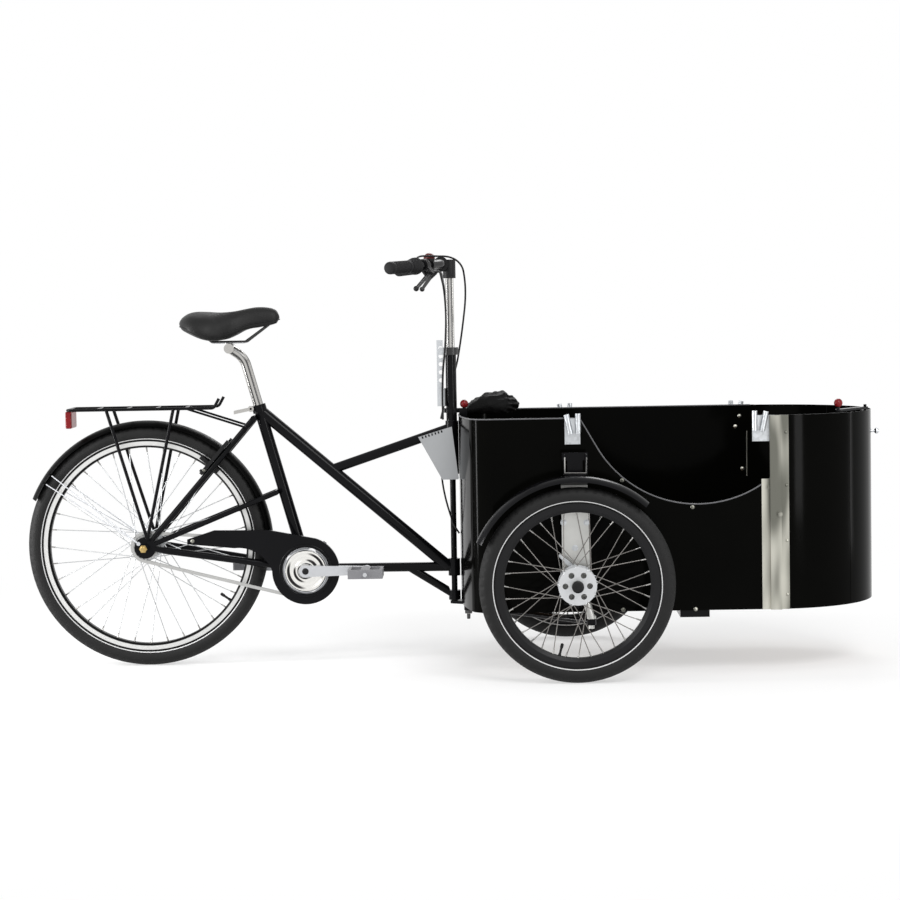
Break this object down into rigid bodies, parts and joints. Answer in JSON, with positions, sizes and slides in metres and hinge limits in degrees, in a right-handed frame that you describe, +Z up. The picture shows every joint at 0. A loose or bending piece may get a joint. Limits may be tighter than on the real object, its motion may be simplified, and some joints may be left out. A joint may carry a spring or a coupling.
{
  "type": "cargo tricycle",
  "caption": "Pedal tricycle with a round-nosed cargo box between steered front wheels, hinged front door, lowered side entry, rear carrier and geared rear wheel.",
  "frame": {"origin": "ground level under the middle of the overall length, on the centre plane", "axes": "+X forwards to the nose of the box, +Y to the rider's left, +Z up"},
  "size_m": [2.3064, 0.914, 1.1025],
  "materials": {
    "frame_black": "gloss black paint",
    "box_black": "satin black paint",
    "tyre_rubber": "matt rubber",
    "rim_silver": "satin silver",
    "rim_black": "satin black",
    "hub_silver": "satin silver",
    "chrome": "bright chrome",
    "zinc": "zinc plated",
    "chain_steel": "oiled steel",
    "stainless": "stainless",
    "guard_grey": "satin grey",
    "knuckle_grey": "satin aluminium",
    "red_plastic": "clear red",
    "black_plastic": "satin black plastic",
    "grip_rubber": "soft rubber",
    "saddle_skin": "black covering",
    "cover_fabric": "woven black cover",
    "floor_wood": "coated plywood",
    "pedal_grey": "satin grey"
  },
  "bodies": {
    "frame": {"main_frame": "frame_black", "rear_stays": "frame_black", "bearings": "zinc", "head_guard": "guard_grey", "chain_guard": "frame_black", "chain": "chain_steel", "rear_fender": "frame_black", "rear_carrier": "frame_black", "tail_reflector": "red_plastic", "box_shell": "box_black", "nose_cheeks": "box_black", "box_floor": "floor_wood", "under_frame": "frame_black", "box_posts": "stainless", "bow_sockets": "zinc", "kingpin_brackets": "frame_black", "cover_bundle": "cover_fabric", "column_bracket": "frame_black", "frame_cables": "black_plastic"},
    "steering": {"steering_column": "frame_black", "stem": "chrome", "column_fittings": "zinc", "handlebar": "frame_black", "grips": "grip_rubber", "bar_clamps": "black_plastic", "front_cables": "black_plastic"},
    "saddle": {"seat_post": "chrome", "saddle_frame": "frame_black", "saddle": "saddle_skin"},
    "seat_lever": {"seat_lever": "chrome"},
    "door": {"front_door": "box_black"},
    "door_pull": {"door_pull": "zinc"},
    "latch_lever": {"latch_lever": "frame_black"},
    "twist_shifter": {"twist_shifter": "black_plastic"},
    "crank": {"crank_arms": "chrome", "chainring": "chain_steel"},
    "sprocket": {"sprocket": "chain_steel"},
    "rear_wheel": {"rear_tyre": "tyre_rubber", "rear_rim": "rim_silver", "rear_hub": "hub_silver"},
    "tie_rod_right": {"tie_rod_right": "frame_black"},
    "knuckle_right": {"knuckle_right": "knuckle_grey", "front_fender_right": "frame_black"},
    "front_brake_arm_right": {"front_brake_arm_right": "zinc"},
    "front_wheel_right": {"front_tyre_right": "tyre_rubber", "front_rim_right": "rim_black", "front_hub_right": "hub_silver"},
    "brake_lever_right": {"brake_lever_right": "black_plastic"},
    "rear_brake_right": {"rear_brake_right": "black_plastic"},
    "pedal_right": {"pedal_right": "pedal_grey"},
    "tie_rod_left": {"tie_rod_left": "frame_black"},
    "knuckle_left": {"knuckle_left": "knuckle_grey", "front_fender_left": "frame_black"},
    "front_brake_arm_left": {"front_brake_arm_left": "zinc"},
    "front_wheel_left": {"front_tyre_left": "tyre_rubber", "front_rim_left": "rim_black", "front_hub_left": "hub_silver"},
    "brake_lever_left": {"brake_lever_left": "black_plastic"},
    "rear_brake_left": {"rear_brake_left": "black_plastic"},
    "pedal_left": {"pedal_left": "pedal_grey"}
  },
  "joints": [
    {"name": "steering", "type": "hinge", "parent": "frame", "child": "steering", "pos_m": [0.00225, 0, 0.6], "axis": [0, 0, 1], "range_deg": [-22, 22]},
    {"name": "tie_rod_right_turn", "type": "hinge", "parent": "steering", "child": "tie_rod_right", "pos_m": [0.03925, -0.02, 0.1475], "axis": [0, 0, 1], "range_deg": [-22, 22]},
    {"name": "knuckle_right_turn", "type": "hinge", "parent": "frame", "child": "knuckle_right", "pos_m": [0.32025, -0.33, 0.35], "axis": [0, 0, 1], "range_deg": [-22, 22]},
    {"name": "front_wheel_right_spin", "type": "hinge", "parent": "knuckle_right", "child": "front_wheel_right", "pos_m": [0.32025, -0.41, 0.25], "axis": [0, 1, 0], "continuous": true},
    {"name": "brake_lever_right_squeeze", "type": "hinge", "parent": "steering", "child": "brake_lever_right", "pos_m": [-0.04738, -0.16609, 1.04807], "axis": [-0.6789, 0.3977, -0.6172], "range_deg": [0, 16]},
    {"name": "front_brake_arm_right_turn", "type": "hinge", "parent": "knuckle_right", "child": "front_brake_arm_right", "pos_m": [0.32025, -0.374, 0.284], "axis": [0, 1, 0], "range_deg": [-12.5, 0.5]},
    {"name": "rear_brake_right_turn", "type": "hinge", "parent": "frame", "child": "rear_brake_right", "pos_m": [-0.66048, -0.04664, 0.51852], "axis": [-0.756, 0, 0.6546], "range_deg": [-0.5, 5]},
    {"name": "pedal_right_spin", "type": "hinge", "parent": "crank", "child": "pedal_right", "pos_m": [-0.23175, -0.13, 0.257], "axis": [0, 1, 0], "continuous": true},
    {"name": "tie_rod_left_turn", "type": "hinge", "parent": "steering", "child": "tie_rod_left", "pos_m": [0.03925, 0.02, 0.1475], "axis": [0, 0, 1], "range_deg": [-22, 22]},
    {"name": "knuckle_left_turn", "type": "hinge", "parent": "frame", "child": "knuckle_left", "pos_m": [0.32025, 0.33, 0.35], "axis": [0, 0, 1], "range_deg": [-22, 22]},
    {"name": "front_wheel_left_spin", "type": "hinge", "parent": "knuckle_left", "child": "front_wheel_left", "pos_m": [0.32025, 0.41, 0.25], "axis": [0, 1, 0], "continuous": true},
    {"name": "brake_lever_left_squeeze", "type": "hinge", "parent": "steering", "child": "brake_lever_left", "pos_m": [-0.04738, 0.16609, 1.04807], "axis": [0.6789, 0.3977, 0.6172], "range_deg": [0, 16]},
    {"name": "front_brake_arm_left_turn", "type": "hinge", "parent": "knuckle_left", "child": "front_brake_arm_left", "pos_m": [0.32025, 0.374, 0.284], "axis": [0, 1, 0], "range_deg": [-12.5, 0.5]},
    {"name": "rear_brake_left_turn", "type": "hinge", "parent": "frame", "child": "rear_brake_left", "pos_m": [-0.66048, 0.04664, 0.51852], "axis": [-0.756, 0, 0.6546], "range_deg": [-5, 0.5]},
    {"name": "pedal_left_spin", "type": "hinge", "parent": "crank", "child": "pedal_left", "pos_m": [-0.56175, 0.13, 0.257], "axis": [0, 1, 0], "continuous": true},
    {"name": "rear_wheel_spin", "type": "hinge", "parent": "frame", "child": "rear_wheel", "pos_m": [-0.82675, 0, 0.3265], "axis": [0, 1, 0], "continuous": true},
    {"name": "crank_spin", "type": "hinge", "parent": "frame", "child": "crank", "pos_m": [-0.39675, 0, 0.257], "axis": [0, 1, 0], "continuous": true},
    {"name": "sprocket_spin", "type": "hinge", "parent": "frame", "child": "sprocket", "pos_m": [-0.82675, -0.045, 0.3265], "axis": [0, 1, 0], "continuous": true},
    {"name": "shifter_twist", "type": "hinge", "parent": "steering", "child": "twist_shifter", "pos_m": [-0.08851, -0.21291, 1.06694], "axis": [0.4774, 0.8778, 0.0405], "range_deg": [-60, 60]},
    {"name": "seat_lever_turn", "type": "hinge", "parent": "frame", "child": "seat_lever", "pos_m": [-0.53931, -0.018, 0.69352], "axis": [0, 1, 0], "range_deg": [0, 110]},
    {"name": "door_swing", "type": "hinge", "parent": "frame", "child": "door", "pos_m": [1.04685, 0.2086, 0.4], "axis": [0, 0, 1], "range_deg": [0, 110]},
    {"name": "latch_turn", "type": "hinge", "parent": "door", "child": "latch_lever", "pos_m": [1.09972, -0.10564, 0.675], "axis": [0, 0, 1], "range_deg": [0, 75]},
    {"name": "door_pull_slide", "type": "slide", "parent": "door", "child": "door_pull", "axis": [1, 0, 0], "range_m": [0, 0.012]},
    {"name": "saddle_height", "type": "slide", "parent": "frame", "child": "saddle", "axis": [-0.2672, 0, 0.9636], "range_m": [-0.09, 0.06]}
  ],
  "couplings": [
    {"joint": "tie_rod_right_turn", "follows": "steering", "ratio": -1},
    {"joint": "knuckle_right_turn", "follows": "steering", "ratio": 1},
    {"joint": "front_brake_arm_right_turn", "follows": "brake_lever_left_squeeze", "ratio": -0.75},
    {"joint": "rear_brake_right_turn", "follows": "brake_lever_right_squeeze", "ratio": 0.28},
    {"joint": "tie_rod_left_turn", "follows": "steering", "ratio": -1},
    {"joint": "knuckle_left_turn", "follows": "steering", "ratio": 1},
    {"joint": "front_brake_arm_left_turn", "follows": "brake_lever_left_squeeze", "ratio": -0.75},
    {"joint": "rear_brake_left_turn", "follows": "brake_lever_right_squeeze", "ratio": -0.28},
    {"joint": "sprocket_spin", "follows": "crank_spin", "ratio": 2}
  ]
}
